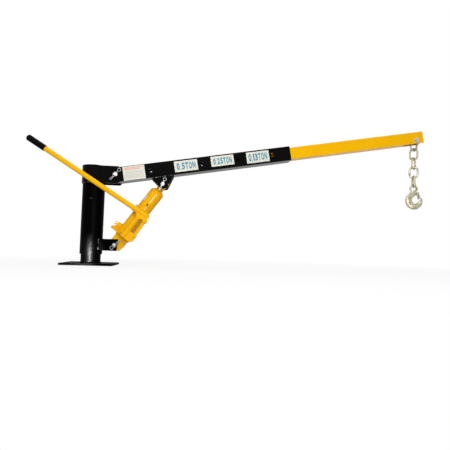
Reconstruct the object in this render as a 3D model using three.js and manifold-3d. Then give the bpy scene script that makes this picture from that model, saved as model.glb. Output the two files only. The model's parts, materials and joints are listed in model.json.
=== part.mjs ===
// A fixed hydraulic jib crane: a mast bolted down by its foot plate, a sleeve that swivels on it,
// a telescopic boom hinged to the sleeve's head, a hand-pumped jack under the boom, and a chain
// with a hook. Lengths are in millimetres, Z is up, X runs along the boom and Y goes from the
// pump's side to the far side. The origin is on the mast's axis, at the underside of the foot plate.
import * as THREE from 'three';
import { mergeVertices } from 'three/addons/utils/BufferGeometryUtils.js';
import Module from 'manifold-3d';

const wasm = await Module();
wasm.setup();

const degree = Math.PI / 180;

// Fits that several pieces share
const seat = 0.3; // gap between pieces that touch
const running = 0.4; // radial clearance of a pin in its hole
const overrun = 20; // how far a cutting tool runs past the piece
const fine = 48; // sides of the large rounds
const medium = 28; // sides of pins, bosses and the jack's small rounds
const coarse = 14; // sides of small screws and holes
const hexagon = 6; // sides of nuts, bolt heads and screw heads
const wideArc = 20; // steps in each arc of a wide outline
const smallArc = 8; // steps in each arc of a small outline

// Foot plate, post and the swivelling sleeve
const plate = { side: 200, thick: 8, corner: 5, holeRadius: 7, holeInset: 26, cornerSteps: 4 };
const post = { radius: 39, wall: 5 };
const sleeve = { radius: 44, wall: 3, foot: 43, top: 400 };
const bush = { length: 40, lowInset: 3, highInset: 16 };
const thrust = { thick: 4, bore: 20 };
const lid = { thick: 6 };
const nipple = { height: 264, radius: 3, flange: 4.5, flangeThick: 2, length: 5 };

// Head: one strap bent round the sleeve, whose ends are the boom's cheeks
const pivot = { x: 90, z: 365 };
const head = { height: 70, wall: 4, past: 19, chamfer: 9, blend: 8, play: 0.8 };

// Boom, in its own frame: X along it from the pivot, Z square to it
const boom = { pitch: 10, side: 60, wall: 4.6, length: 730, holeRadius: 7 };
const lockInsets = [590, 377, 227, 77]; // lock holes, back from the boom's open end
const jib = { side: 50, wall: 3, tail: 48, length: 731 };
const slot = { behind: 52, halfWidth: 17 };
const plug = { thick: 3, inset: 1 };
const mountPlate = { thick: 6, topStart: 138, topEnd: 232, bottomStart: 172, bottomEnd: 197, drop: 50 };
const ramPin = { along: 182, below: 62 };
const lockPin = { radius: 6.3, knob: 11, knobThick: 6, collar: 9, collarThick: 3, travel: 56, hold: 3.4 };
const rootPin = { radius: 8, boss: 12, nearEnd: 45 };

// The jack's lower bracket on the sleeve
const foot = { x: 96, z: 82 };
const bracket = { low: 58, high: 105, thick: 6, outer: 30, near: 110, slant: 6, far: 121, cut: 12 };
const jackPin = { radius: 7, nearEnd: 42 };
const pinHead = { rim: 3, thick: 4, bevel: 1.5 };

// Spring clips: wire, eye and legs, and for each pin the way its clip points
const clip = { wire: 1.3, eye: 6.2, leg: 30, bulge: 0.8, hug: 26, back: 4.2, splay: 6 };
const wireRound = { sides: 6, turnSteps: 10, stepsPerPoint: 2 };
const rootClip = { turn: 51, reach: 24 };
const footClip = { turn: 226, reach: 15 };
const ramClip = { turn: 67, reach: 21 };

// Jack, in its own frame: Z along it from the lower pin, X square to it on the boom's side
const reservoir = { radius: 29.5, wall: 3, top: 268 };
const cylinder = { radius: 20, bore: 16, top: 262 };
const ram = { radius: 14, tail: 80, headGap: 5, eye: 15, eyeWidth: 44 };
const topNut = { shoulder: 6, rise: 11, neck: 20, neckHeight: 7, bore: 16, bevel: 1.5, steps: 5 };
const flange = { low: 46, thick: 10, left: 59, right: 39, halfWidth: 32, tip: 13 };
const collar = { radius: 32, top: 86 };
const lug = { left: 25, right: 31, thick: 44, round: 22, corner: 21, cornerTop: 12, tuck: 4 };
const lugFlare = { left: 3, right: 7, high: 12 };
const valveBoss = { radius: 12, height: 72, start: 24, end: 47, rib: 8 };
const valve = { radius: 3.5, length: 10, depth: 5, bar: 2, barLength: 19 };
const filler = { height: 208, side: 3, radius: 10, stand: 3, plugRadius: 4, plugStand: 2 };

// Pump, beside the jack: every place is measured in the jack's frame
const pump = { across: 61, along: 9, boss: 14, bossTop: 88, radius: 9.5, bore: 5.4, top: 133 };
const piston = { radius: 5, tail: 66, head: 8.4, thick: 9.6, sideways: 1.5, lengthways: 0.7 };
const linkBar = { halfWidth: 5.8, thick: 9.6, footX: 43, footZ: 76, topX: 40, topZ: 149 };
const pistonPin = { x: 10, z: 143.5 };
const pumpPin = { radius: 4, headThick: 2 };
const ear = { wall: 4, high: 8, gapBack: 4, tipX: 51, tipZ: 53 };
const lever = { wall: 5.6, lobe: 9, webLeft: 14 };
const socket = { radius: 12.6, bore: 10.4, start: -28.6, startZ: 164.2, length: 72, tilt: 3.87, dome: 10 };
const clamp = { radius: 3, head: 5, headThick: 4, inset: 7, boss: 5.5, bossStand: 2 };
const handle = { radius: 10, wall: 2, depth: 46, visible: 413 };
const grip = { radius: 12.4, length: 80, over: 66, soft: 4 };

// Chain and hook
const bolt = { inset: 32, below: 12, radius: 4, headRadius: 8.8, headThick: 7, nutThick: 8.5, tail: 4 };
const boltFlange = { radius: 11.5, thick: 2 };
const chain = { wire: 4, innerLength: 41.1, innerWidth: 25, count: 5, steps: 18, sides: 8 };
const chainTurns = [14, -52, 38, -30, 76]; // how far each link is turned about the vertical
const eye = { radius: 19, hole: 10, thick: 13, land: 3, flare: 3 };
const bowl = { x: 7, z: -51, radius: 16 };
const back = { x: 1.5, z: -55, radius: 39, thick: 18, bevel: 4, bevelSteps: 2 };
const neck = { topX: 14, topZ: -12, lowX: 23, lowZ: -28, right: 10 };
const mouth = { apexX: 12, apexZ: -27, tipX: 40.5, tipZ: -39, lip: 24, clear: 15 };
const latch = { x: 17.5, z: -20.5, endX: 25.85, endZ: -47.5, width: 17, lug: 8, pin: 2, room: 8 };
const latchSheet = { thick: 1.6, deep: 3.2, ear: 4.5, waist: 1.5, lip: 1, slant: 1, webStart: 7 };

// Finishes
const finish = {
  yellow: new THREE.MeshStandardMaterial({ color: 0xf5b400, roughness: 0.32, metalness: 0 }),
  black: new THREE.MeshStandardMaterial({ color: 0x0b0b0c, roughness: 0.35, metalness: 0 }),
  zinc: new THREE.MeshStandardMaterial({ color: 0xc9ccd0, roughness: 0.3, metalness: 1 }),
  galvanised: new THREE.MeshStandardMaterial({ color: 0xb3b09a, roughness: 0.45, metalness: 1 }),
  steel: new THREE.MeshStandardMaterial({ color: 0xd5d7da, roughness: 0.18, metalness: 1 }),
  brass: new THREE.MeshStandardMaterial({ color: 0xcdbb7a, roughness: 0.35, metalness: 1 }),
  rubber: new THREE.MeshStandardMaterial({ color: 0x101010, roughness: 0.8, metalness: 0 }),
  nylon: new THREE.MeshStandardMaterial({ color: 0xe6e2d4, roughness: 0.6, metalness: 0 }),
};

// Turns a closed geometry into a solid that can be joined and cut
function solid(geometry) {
  const bare = geometry.clone();
  bare.deleteAttribute('normal');
  bare.deleteAttribute('uv');
  const merged = mergeVertices(bare);
  const vertProperties = new Float32Array(merged.attributes.position.array);
  const triVerts = new Uint32Array(merged.index.array);
  return new wasm.Manifold(new wasm.Mesh({ numProp: 3, vertProperties, triVerts }));
}

// Turns a solid back into a geometry
function skin(body) {
  const mesh = body.getMesh();
  const geometry = new THREE.BufferGeometry();
  geometry.setAttribute('position', new THREE.BufferAttribute(mesh.vertProperties, 3));
  geometry.setIndex(new THREE.BufferAttribute(mesh.triVerts, 1));
  return geometry;
}

function join(first, ...rest) {
  return skin(rest.reduce((sum, next) => sum.add(solid(next)), solid(first)));
}

function cut(first, ...tools) {
  return skin(tools.reduce((left, tool) => left.subtract(solid(tool)), solid(first)));
}

function move(geometry, x, y, z) {
  return geometry.clone().translate(x, y, z);
}

// A round bar along Z, from zero up
function bar(radius, length, sides = medium) {
  const geometry = new THREE.CylinderGeometry(radius, radius, length, sides);
  return geometry.rotateX(Math.PI / 2).translate(0, 0, length / 2);
}

// A round bar along Y, from y up to y + length, at x and z
function crossBar(radius, x, y, z, length, sides = medium) {
  const geometry = new THREE.CylinderGeometry(radius, radius, length, sides);
  return geometry.translate(x, y + length / 2, z);
}

const alongY = new THREE.Vector3(0, 1, 0);

// A round bar from one point to another
function barBetween(radius, start, end, sides = medium) {
  const way = end.clone().sub(start);
  const geometry = new THREE.CylinderGeometry(radius, radius, way.length(), sides);
  const turn = new THREE.Quaternion().setFromUnitVectors(alongY, way.clone().normalize());
  geometry.translate(0, way.length() / 2, 0).applyQuaternion(turn);
  return geometry.translate(start.x, start.y, start.z);
}

// A pipe along Z, from zero up
function pipe(outer, inner, length, sides = medium) {
  return cut(bar(outer, length, sides), move(bar(inner, length + 2 * overrun, sides), 0, 0, -overrun));
}

// A box between two corners
function block(x0, y0, z0, x1, y1, z1) {
  const geometry = new THREE.BoxGeometry(x1 - x0, y1 - y0, z1 - z0);
  return geometry.translate((x0 + x1) / 2, (y0 + y1) / 2, (z0 + z1) / 2);
}

// An outline in X and Z, given thickness along Y from y up
function slab(outline, y, thick, curveSegments = smallArc) {
  const geometry = new THREE.ExtrudeGeometry(outline, { depth: thick, bevelEnabled: false, curveSegments });
  return geometry.rotateX(Math.PI / 2).translate(0, y + thick, 0);
}

// An outline in X and Y, given height along Z from z up
function prism(outline, z, height, curveSegments = smallArc) {
  const geometry = new THREE.ExtrudeGeometry(outline, { depth: height, bevelEnabled: false, curveSegments });
  return geometry.translate(0, 0, z);
}

function polygon(points) {
  return new THREE.Shape(points.map(([x, y]) => new THREE.Vector2(x, y)));
}

// A solid turned about Z from a profile of radius and height that starts and ends on the axis
function turned(profile, sides = fine) {
  const points = profile.map(([radius, height]) => new THREE.Vector2(radius, height));
  return new THREE.LatheGeometry(points, sides).rotateX(Math.PI / 2);
}

function piece(name, material, geometry) {
  const mesh = new THREE.Mesh(geometry, material.clone());
  mesh.name = name;
  return mesh;
}

function group(...members) {
  const holder = new THREE.Group();
  holder.add(...members);
  return holder;
}

// A plain pin along Y through x and z, its head on the far side and a cross hole for its clip
function clippedPin({ radius, nearEnd }, x, z, farEnd, clipY, clipTurn) {
  const away = new THREE.Vector3(Math.cos(clipTurn * degree), 0, Math.sin(clipTurn * degree));
  const middle = new THREE.Vector3(x, clipY, z);
  const hole = barBetween(
    clip.wire + running,
    middle.clone().addScaledVector(away, -overrun),
    middle.clone().addScaledVector(away, overrun),
    coarse,
  );
  const profile = [
    [0, -nearEnd],
    [radius - pinHead.bevel, -nearEnd],
    [radius, -nearEnd + pinHead.bevel],
    [radius, farEnd],
    [radius + pinHead.rim, farEnd],
    [radius + pinHead.rim, farEnd + pinHead.thick],
    [0, farEnd + pinHead.thick],
  ];
  const shank = turned(profile, medium).rotateX(-Math.PI / 2);
  return cut(move(shank, x, 0, z), hole);
}

// A vector in the plane of X and Z, turned from X towards Z
function spoke(angle, length) {
  return new THREE.Vector3(Math.cos(angle), 0, Math.sin(angle)).multiplyScalar(length);
}

// A spring clip in the plane y: one leg goes through the pin at x and z, the other round it
function springClip(x, y, z, pinRadius, turn, reach) {
  const lift = pinRadius + clip.wire + clip.bulge;
  const neck = 2 * clip.wire + seat;
  const lean = Math.asin(neck / clip.eye / 2);
  const tangent = reach - clip.eye * Math.cos(lean);
  const straight = [-clip.leg, -lift, 0, pinRadius, (pinRadius + tangent) / 2];
  const points = straight.map((along) => new THREE.Vector3(along, 0, 0));
  for (let step = 0; step <= wireRound.turnSteps; step += 1) {
    const angle = Math.PI + lean + (step / wireRound.turnSteps) * (2 * Math.PI - 2 * lean);
    const centre = new THREE.Vector3(reach, 0, neck / 2);
    points.push(centre.add(spoke(angle, clip.eye)));
  }
  for (const share of [1, 1 / 2, 0, -1 / 2, -1]) {
    points.push(spoke(Math.PI / 2 - share * (Math.PI / 2 - clip.hug * degree), lift));
  }
  points.push(new THREE.Vector3(-(clip.leg + lift) / 2, 0, clip.back));
  points.push(new THREE.Vector3(-clip.leg, 0, clip.splay));
  const path = new THREE.CatmullRomCurve3(points, false, 'centripetal');
  const section = new THREE.Shape();
  section.absarc(0, 0, clip.wire, 0, 2 * Math.PI, false);
  const wire = new THREE.ExtrudeGeometry(section, {
    steps: wireRound.stepsPerPoint * points.length,
    curveSegments: wireRound.sides / 2,
    bevelEnabled: false,
    extrudePath: path,
  });
  return wire.rotateY(-turn * degree).translate(x, y, z);
}

// Base: foot plate, post, thrust washer and bushes

const plateTop = plate.thick;
const lidLow = sleeve.top - lid.thick;
const washerLow = lidLow - seat - thrust.thick;
const postTop = washerLow - seat;
const sleeveBore = sleeve.radius - sleeve.wall;

function footPlate() {
  const half = plate.side / 2;
  const soft = half - plate.corner;
  const outline = new THREE.Shape();
  outline.absarc(soft, soft, plate.corner, 0, Math.PI / 2, false);
  outline.absarc(-soft, soft, plate.corner, Math.PI / 2, Math.PI, false);
  outline.absarc(-soft, -soft, plate.corner, Math.PI, 1.5 * Math.PI, false);
  outline.absarc(soft, -soft, plate.corner, 1.5 * Math.PI, 2 * Math.PI, false);
  const place = half - plate.holeInset;
  const holes = [];
  for (const x of [-place, place]) {
    for (const y of [-place, place]) {
      holes.push(move(bar(plate.holeRadius, plate.thick + 2 * overrun), x, y, -overrun));
    }
  }
  return cut(prism(outline, 0, plate.thick, plate.cornerSteps), ...holes);
}

function bushAt(low) {
  return move(pipe(sleeveBore - seat, post.radius + seat, bush.length, fine), 0, 0, low);
}

const postFoot = plateTop + seat;
const base = group(
  piece('base_plate', finish.black, footPlate()),
  piece(
    'mast_post',
    finish.black,
    move(pipe(post.radius, post.radius - post.wall, postTop - postFoot, fine), 0, 0, postFoot),
  ),
  piece(
    'thrust_washer',
    finish.brass,
    move(pipe(post.radius, thrust.bore, thrust.thick, fine), 0, 0, washerLow),
  ),
  piece('lower_bush', finish.nylon, bushAt(sleeve.foot + bush.lowInset)),
  piece('upper_bush', finish.nylon, bushAt(postTop - bush.length - bush.highInset)),
);

// Mast: sleeve, lid, head strap, lower bracket and their pins

const cheekInner = boom.side / 2 + head.play;
const cheekOuter = cheekInner + head.wall;
const strapInner = sleeve.radius + seat;
const strapOuter = strapInner + head.wall;
const cheekEnd = pivot.x + head.past;
const rootClipY = -(rootPin.nearEnd - pinHead.thick - clip.wire);
const jackClipY = -(jackPin.nearEnd - pinHead.thick - clip.wire);

// The strap's outline: half way round the sleeve, then two straight cheeks, with a soft bend outside
function headStrap() {
  const bendX = Math.sqrt((strapOuter + head.blend) ** 2 - (cheekOuter + head.blend) ** 2);
  const bendY = cheekOuter + head.blend;
  const meet = Math.atan2(bendY, bendX);
  const innerMeet = Math.asin(cheekInner / strapInner);
  const outline = new THREE.Shape();
  outline.moveTo(cheekEnd, cheekInner);
  outline.lineTo(cheekEnd, cheekOuter);
  outline.absarc(bendX, bendY, head.blend, 1.5 * Math.PI, Math.PI + meet, true);
  outline.absarc(0, 0, strapOuter, meet, 2 * Math.PI - meet, false);
  outline.absarc(bendX, -bendY, head.blend, Math.PI - meet, Math.PI / 2, true);
  outline.lineTo(cheekEnd, -cheekOuter);
  outline.lineTo(cheekEnd, -cheekInner);
  outline.absarc(0, 0, strapInner, 2 * Math.PI - innerMeet, innerMeet, true);
  const low = pivot.z - head.height / 2;
  const strap = prism(outline, low, head.height, wideArc);
  const reach = cheekOuter + overrun;
  const corners = [-1, 1].map((side) => {
    const edge = pivot.z + (side * head.height) / 2;
    const triangle = polygon([
      [cheekEnd - head.chamfer, edge + side * overrun],
      [cheekEnd - head.chamfer, edge],
      [cheekEnd, edge - side * head.chamfer],
      [cheekEnd + overrun, edge - side * head.chamfer],
      [cheekEnd + overrun, edge + side * overrun],
    ]);
    return slab(triangle, -reach, 2 * reach);
  });
  return cut(strap, ...corners, crossBar(rootPin.radius + running, pivot.x, -reach, pivot.z, 2 * reach));
}

function lowerBracket(y, outline) {
  const shell = bar(sleeve.radius + seat, sleeve.top, fine);
  const reach = bracket.outer + overrun;
  const hole = crossBar(jackPin.radius + running, foot.x, -reach, foot.z, 2 * reach);
  return cut(slab(outline, y, bracket.thick), shell, hole);
}

const nearBracketOutline = polygon([
  [0, bracket.low],
  [bracket.near - bracket.slant, bracket.low],
  [bracket.near, bracket.high],
  [0, bracket.high],
]);
const farBracketOutline = polygon([
  [0, bracket.low],
  [bracket.far - bracket.cut, bracket.low],
  [bracket.far, bracket.low + bracket.cut],
  [bracket.far, bracket.high],
  [0, bracket.high],
]);

function greaseNipple() {
  const collarFace = -sleeve.radius - seat - nipple.flangeThick;
  const stem = crossBar(nipple.radius, 0, collarFace - nipple.length, nipple.height, nipple.length, coarse);
  const collar = crossBar(nipple.flange, 0, collarFace, nipple.height, nipple.flangeThick, hexagon);
  return join(stem, collar);
}

const mast = group(
  piece(
    'mast_sleeve',
    finish.black,
    move(pipe(sleeve.radius, sleeveBore, sleeve.top - sleeve.foot, fine), 0, 0, sleeve.foot),
  ),
  piece('sleeve_lid', finish.black, move(bar(sleeveBore - seat, lid.thick, fine), 0, 0, lidLow)),
  piece('head_strap', finish.black, headStrap()),
  piece('jack_bracket_near', finish.black, lowerBracket(-bracket.outer, nearBracketOutline)),
  piece('jack_bracket_far', finish.black, lowerBracket(bracket.outer - bracket.thick, farBracketOutline)),
  piece('grease_nipple', finish.zinc, greaseNipple()),
  piece(
    'boom_pivot_pin',
    finish.zinc,
    clippedPin(rootPin, pivot.x, pivot.z, cheekOuter + seat, rootClipY, rootClip.turn),
  ),
  piece(
    'boom_pivot_clip',
    finish.zinc,
    springClip(pivot.x, rootClipY, pivot.z, rootPin.radius, rootClip.turn, rootClip.reach),
  ),
  piece(
    'jack_foot_pin',
    finish.zinc,
    clippedPin(jackPin, foot.x, foot.z, bracket.outer + seat, jackClipY, footClip.turn),
  ),
  piece(
    'jack_foot_clip',
    finish.zinc,
    springClip(foot.x, jackClipY, foot.z, jackPin.radius, footClip.turn, footClip.reach),
  ),
);

// Boom: outer tube with its round root, pivot bush, jack plates and upper pin

const half = boom.side / 2;
const lockPlaces = lockInsets.map((inset) => boom.length - inset);
const innerHalf = half - boom.wall;

function outerTube() {
  const root = new THREE.Shape();
  root.moveTo(boom.length, -half);
  root.lineTo(boom.length, half);
  root.absarc(0, 0, half, Math.PI / 2, 1.5 * Math.PI, false);
  const hollow = new THREE.Shape();
  hollow.moveTo(boom.length + overrun, -innerHalf);
  hollow.lineTo(boom.length + overrun, innerHalf);
  hollow.absarc(0, 0, innerHalf, Math.PI / 2, 1.5 * Math.PI, false);
  const through = 2 * (half + overrun);
  const holes = lockPlaces.map((place) => crossBar(boom.holeRadius, place, -half - overrun, 0, through));
  const boss = crossBar(rootPin.boss + seat, 0, -half - overrun, 0, through);
  const hollowSlab = slab(hollow, -innerHalf, 2 * innerHalf, wideArc);
  return cut(slab(root, -half, boom.side, wideArc), hollowSlab, boss, ...holes);
}

function jackPlate(y) {
  const top = -half - seat;
  const outline = polygon([
    [mountPlate.topStart, top],
    [mountPlate.bottomStart, top - mountPlate.drop],
    [mountPlate.bottomEnd, top - mountPlate.drop],
    [mountPlate.topEnd, top],
  ]);
  const reach = half + overrun;
  const hole = crossBar(jackPin.radius + running, ramPin.along, -reach, -ramPin.below, 2 * reach);
  return cut(slab(outline, y, mountPlate.thick), hole);
}

const pivotBush = cut(
  crossBar(rootPin.boss, 0, -half, 0, boom.side),
  crossBar(rootPin.radius + running, 0, -half - overrun, 0, boom.side + 2 * overrun),
);
const ramClipTurn = ramClip.turn - boom.pitch;

// Extension pin, drawn back: its tip waits in the far wall, in line with the last lock hole

const lockPlace = lockPlaces[lockPlaces.length - 1];
const lockTip = innerHalf + boom.wall - lockPin.hold;
const lockLength = half + lockPin.travel + lockPin.knobThick - lockTip;

function extensionPin() {
  const stopAt = half + lockPin.travel + seat - lockTip;
  const profile = [
    [0, 0],
    [lockPin.radius - pinHead.bevel, 0],
    [lockPin.radius, pinHead.bevel],
    [lockPin.radius, stopAt],
    [lockPin.collar, stopAt],
    [lockPin.collar, stopAt + lockPin.collarThick],
    [lockPin.knob, stopAt + lockPin.collarThick],
    [lockPin.knob, lockLength + lockPin.collarThick],
    [0, lockLength + lockPin.collarThick],
  ];
  return turned(profile, medium).rotateX(-Math.PI / 2).translate(lockPlace, lockTip, 0);
}

// Jib: the inner tube that slides, slotted under the hook bolt

const jibHalf = jib.side / 2;
const jibInner = jibHalf - jib.wall;
const jibStart = lockPlace - jib.tail;
const jibEnd = jibStart + jib.length;
const boltAlong = jibEnd - bolt.inset;

function jibTube() {
  const outer = block(jibStart, -jibHalf, -jibHalf, jibEnd, jibHalf, jibHalf);
  const hollow = block(jibStart - overrun, -jibInner, -jibInner, jibEnd + overrun, jibInner, jibInner);
  const hookSlot = block(
    boltAlong - slot.behind,
    -slot.halfWidth,
    -jibHalf - overrun,
    jibEnd + overrun,
    slot.halfWidth,
    -jibInner + jib.wall,
  );
  const reach = jibHalf + overrun;
  const lock = crossBar(boom.holeRadius, lockPlace, -reach, 0, 2 * reach);
  const boltHole = crossBar(bolt.radius + running, boltAlong, -reach, -bolt.below, 2 * reach);
  return cut(outer, hollow, hookSlot, lock, boltHole);
}

function hookBolt() {
  const headAt = -jibHalf - seat - bolt.headThick;
  const hexHead = crossBar(bolt.headRadius, boltAlong, headAt, -bolt.below, bolt.headThick, hexagon);
  const flangeAt = -jibHalf - seat - boltFlange.thick;
  const flangeDisc = crossBar(boltFlange.radius, boltAlong, flangeAt, -bolt.below, boltFlange.thick);
  const length = bolt.headThick / 2 + 2 * (jibHalf + seat) + bolt.nutThick + bolt.tail;
  const shank = crossBar(bolt.radius, boltAlong, headAt + bolt.headThick / 2, -bolt.below, length);
  return join(hexHead, flangeDisc, shank);
}

const hookNut = cut(
  join(
    crossBar(bolt.headRadius, boltAlong, jibHalf + seat, -bolt.below, bolt.nutThick, hexagon),
    crossBar(boltFlange.radius, boltAlong, jibHalf + seat, -bolt.below, boltFlange.thick),
  ),
  crossBar(bolt.radius + seat, boltAlong, jibHalf - overrun, -bolt.below, 2 * overrun),
);
const plugHalf = jibInner - seat;
const endPlug = block(
  jibEnd - plug.inset - plug.thick,
  -plugHalf,
  -plugHalf,
  jibEnd - plug.inset,
  plugHalf,
  plugHalf,
);

const boomGroup = group(
  piece('outer_boom', finish.black, outerTube()),
  piece('boom_pivot_bush', finish.steel, pivotBush),
  piece('ram_bracket_near', finish.black, jackPlate(-half)),
  piece('ram_bracket_far', finish.black, jackPlate(half - mountPlate.thick)),
  piece(
    'ram_pin',
    finish.zinc,
    clippedPin(jackPin, ramPin.along, -ramPin.below, half + seat, jackClipY, ramClipTurn),
  ),
  piece(
    'ram_pin_clip',
    finish.zinc,
    springClip(ramPin.along, jackClipY, -ramPin.below, jackPin.radius, ramClipTurn, ramClip.reach),
  ),
  piece('extension_pin', finish.zinc, extensionPin()),
  piece('inner_boom', finish.yellow, jibTube()),
  piece('boom_end_plug', finish.yellow, endPlug),
  piece('hook_bolt', finish.zinc, hookBolt()),
  piece('hook_bolt_nut', finish.zinc, hookNut),
);
boomGroup.position.set(pivot.x, 0, pivot.z);
boomGroup.rotation.y = -boom.pitch * degree;

// Jack: base casting, reservoir, cylinder, top nut, ram and its head

const boomWay = new THREE.Vector2(Math.cos(boom.pitch * degree), Math.sin(boom.pitch * degree));
const ramPinAt = new THREE.Vector2(
  pivot.x + ramPin.along * boomWay.x + ramPin.below * boomWay.y,
  pivot.z + ramPin.along * boomWay.y - ramPin.below * boomWay.x,
);
const jackLength = Math.hypot(ramPinAt.x - foot.x, ramPinAt.y - foot.z);
const jackLean = Math.atan2(ramPinAt.x - foot.x, ramPinAt.y - foot.z);
const flangeTop = flange.low + flange.thick;
const pumpY = -pump.across;
const forkHalf = piston.thick / 2 + seat;
const earHalf = forkHalf + ear.wall;

// The foot: a lug round the lower pin that widens to the flange
function footLug() {
  const outline = new THREE.Shape();
  outline.moveTo(lug.right + lugFlare.right, flange.low + seat);
  outline.lineTo(lug.right, flange.low - lugFlare.high);
  outline.lineTo(lug.right, lug.cornerTop);
  outline.quadraticCurveTo(lug.right - lug.tuck, lug.tuck - lug.corner, lug.round / 2, -lug.corner);
  outline.lineTo(-lug.round / 2, -lug.corner);
  outline.lineTo(-lug.left, -lug.corner + lug.round);
  outline.lineTo(-lug.left, flange.low - lugFlare.high);
  outline.lineTo(-lug.left - lugFlare.left, flange.low + seat);
  return slab(outline, -lug.thick / 2, lug.thick);
}

// The flange, seen along the jack: a blunt left tip, a round front under the pump, a square back
function flangePlate() {
  const outline = new THREE.Shape();
  outline.moveTo(-flange.left, -flange.tip);
  outline.lineTo(-pump.boss, pumpY + pump.boss);
  outline.absarc(pump.along, pumpY, pump.boss, Math.PI, 2 * Math.PI, false);
  outline.lineTo(flange.right, -flange.halfWidth);
  outline.lineTo(flange.right, flange.halfWidth);
  outline.lineTo(-flange.tip, flange.halfWidth);
  outline.lineTo(-flange.left, flange.tip);
  return prism(outline, flange.low, flange.thick);
}

// The pump's boss, the neck that joins it to the base, and the two ears of the link
function pumpBoss() {
  const boss = move(bar(pump.boss, pump.bossTop - flange.low), pump.along, pumpY, flange.low);
  const neck = block(
    pump.along - pump.boss,
    pumpY,
    flange.low,
    pump.along + pump.boss,
    -reservoir.radius - seat,
    pump.bossTop - pump.boss,
  );
  const ears = polygon([
    [pump.along, flange.low],
    [linkBar.footX - ear.high, flange.low],
    [ear.tipX, ear.tipZ],
    [linkBar.footX + ear.high, linkBar.footZ + ear.high],
    [linkBar.footX - ear.high, linkBar.footZ + ear.high],
    [pump.along, pump.bossTop - pump.boss / 2],
  ]);
  const bulk = join(boss, neck, slab(ears, pumpY - earHalf, 2 * earHalf));
  const gap = block(
    linkBar.footX - linkBar.halfWidth - ear.gapBack,
    pumpY - forkHalf,
    linkBar.footZ - linkBar.halfWidth - 2 * seat,
    linkBar.footX + overrun,
    pumpY + forkHalf,
    linkBar.footZ + overrun,
  );
  const bore = move(bar(pump.bore, pump.bossTop), pump.along, pumpY, flangeTop);
  const pinRoom = pumpPin.radius + running;
  const pin = crossBar(pinRoom, linkBar.footX, pumpY - overrun, linkBar.footZ, 2 * overrun);
  return cut(bulk, gap, bore, pin);
}

// The release valve's boss and the rib that carries it
function valveHousing() {
  const boss = bar(valveBoss.radius, valveBoss.end - valveBoss.start).rotateY(-Math.PI / 2);
  const outline = polygon([
    [-flange.left + valveBoss.rib / 2, flangeTop - seat],
    [-valveBoss.start, flangeTop - seat],
    [-valveBoss.start, valveBoss.height + valveBoss.radius],
    [-valveBoss.end + valveBoss.rib / 2, valveBoss.height],
  ]);
  const rib = slab(outline, -valveBoss.rib / 2, valveBoss.rib);
  const stem = bar(valve.radius + running, 2 * overrun, coarse).rotateY(-Math.PI / 2);
  const body = join(move(boss, -valveBoss.start, 0, valveBoss.height), rib);
  const clear = move(bar(reservoir.radius + seat, reservoir.top, fine), 0, 0, flangeTop - overrun);
  return cut(body, move(stem, -valveBoss.end + 2 * valve.depth, 0, valveBoss.height), clear);
}

// The collar that rises from the flange round the reservoir's foot
function baseCollar() {
  const outside = move(bar(collar.radius, collar.top - flange.low, fine), 0, 0, flange.low);
  return cut(outside, move(bar(reservoir.radius + seat, reservoir.top, fine), 0, 0, flangeTop));
}

function jackBase() {
  const reach = lug.thick / 2 + overrun;
  const pinHole = crossBar(jackPin.radius + running, 0, -reach, 0, 2 * reach);
  return cut(join(footLug(), flangePlate(), baseCollar(), pumpBoss(), valveHousing()), pinHole);
}

function releaseValve() {
  const start = -valveBoss.end + valve.depth;
  const end = -valveBoss.end - valve.length;
  const stem = barBetween(
    valve.radius,
    new THREE.Vector3(start, 0, valveBoss.height),
    new THREE.Vector3(end, 0, valveBoss.height),
    coarse,
  );
  const cross = bar(valve.bar, valve.barLength, coarse);
  return join(stem, move(cross, end + valve.bar, 0, valveBoss.height - valve.barLength / 2));
}

const tankFoot = flangeTop + seat;
const tankTop = reservoir.top;
const tankInner = reservoir.radius - reservoir.wall;

// The top nut: a straight rim on the tank, a round shoulder and a raised neck, bored for the ram
function jackTopNut() {
  const low = tankTop + seat;
  const profile = [[0, low]];
  for (let step = 0; step <= topNut.steps; step += 1) {
    const turn = (step / topNut.steps) * (Math.PI / 2);
    const radius = reservoir.radius - topNut.shoulder * (1 - Math.cos(turn));
    profile.push([radius, low + topNut.rise * Math.sin(turn)]);
  }
  const neckLow = low + topNut.rise;
  profile.push([topNut.neck - topNut.bevel, neckLow + topNut.neckHeight - topNut.bevel]);
  profile.push([topNut.neck - 2 * topNut.bevel, neckLow + topNut.neckHeight]);
  profile.push([0, neckLow + topNut.neckHeight]);
  return cut(turned(profile), move(bar(topNut.bore, tankTop, fine), 0, 0, low - overrun));
}

function fillerBoss() {
  const out = -reservoir.radius - filler.stand;
  const boss = crossBar(filler.radius, filler.side, out, filler.height, reservoir.radius);
  const tank = bar(reservoir.radius + seat, tankTop, fine);
  const across = filler.plugRadius + seat;
  const hole = crossBar(across, filler.side, out - overrun, filler.height, 3 * overrun, coarse);
  return cut(boss, tank, hole);
}

function fillerPlug() {
  const start = -reservoir.radius - filler.stand - filler.plugStand;
  const length = filler.plugStand + filler.stand;
  return cut(
    crossBar(filler.plugRadius, filler.side, start, filler.height, length, coarse),
    bar(reservoir.radius + seat, tankTop, fine),
  );
}

const nutTop = tankTop + seat + topNut.rise + topNut.neckHeight;

function ramHead() {
  const low = nutTop + ram.headGap;
  const neck = move(bar(ram.eye, jackLength - low), 0, 0, low);
  const eyeBar = crossBar(ram.eye, 0, -ram.eyeWidth / 2, jackLength, ram.eyeWidth);
  const hole = crossBar(jackPin.radius + running, 0, -ram.eyeWidth, jackLength, 2 * ram.eyeWidth);
  return cut(join(neck, eyeBar), hole);
}

// Pump: cylinder, piston, link, lever with its socket, handle and grip

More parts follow.
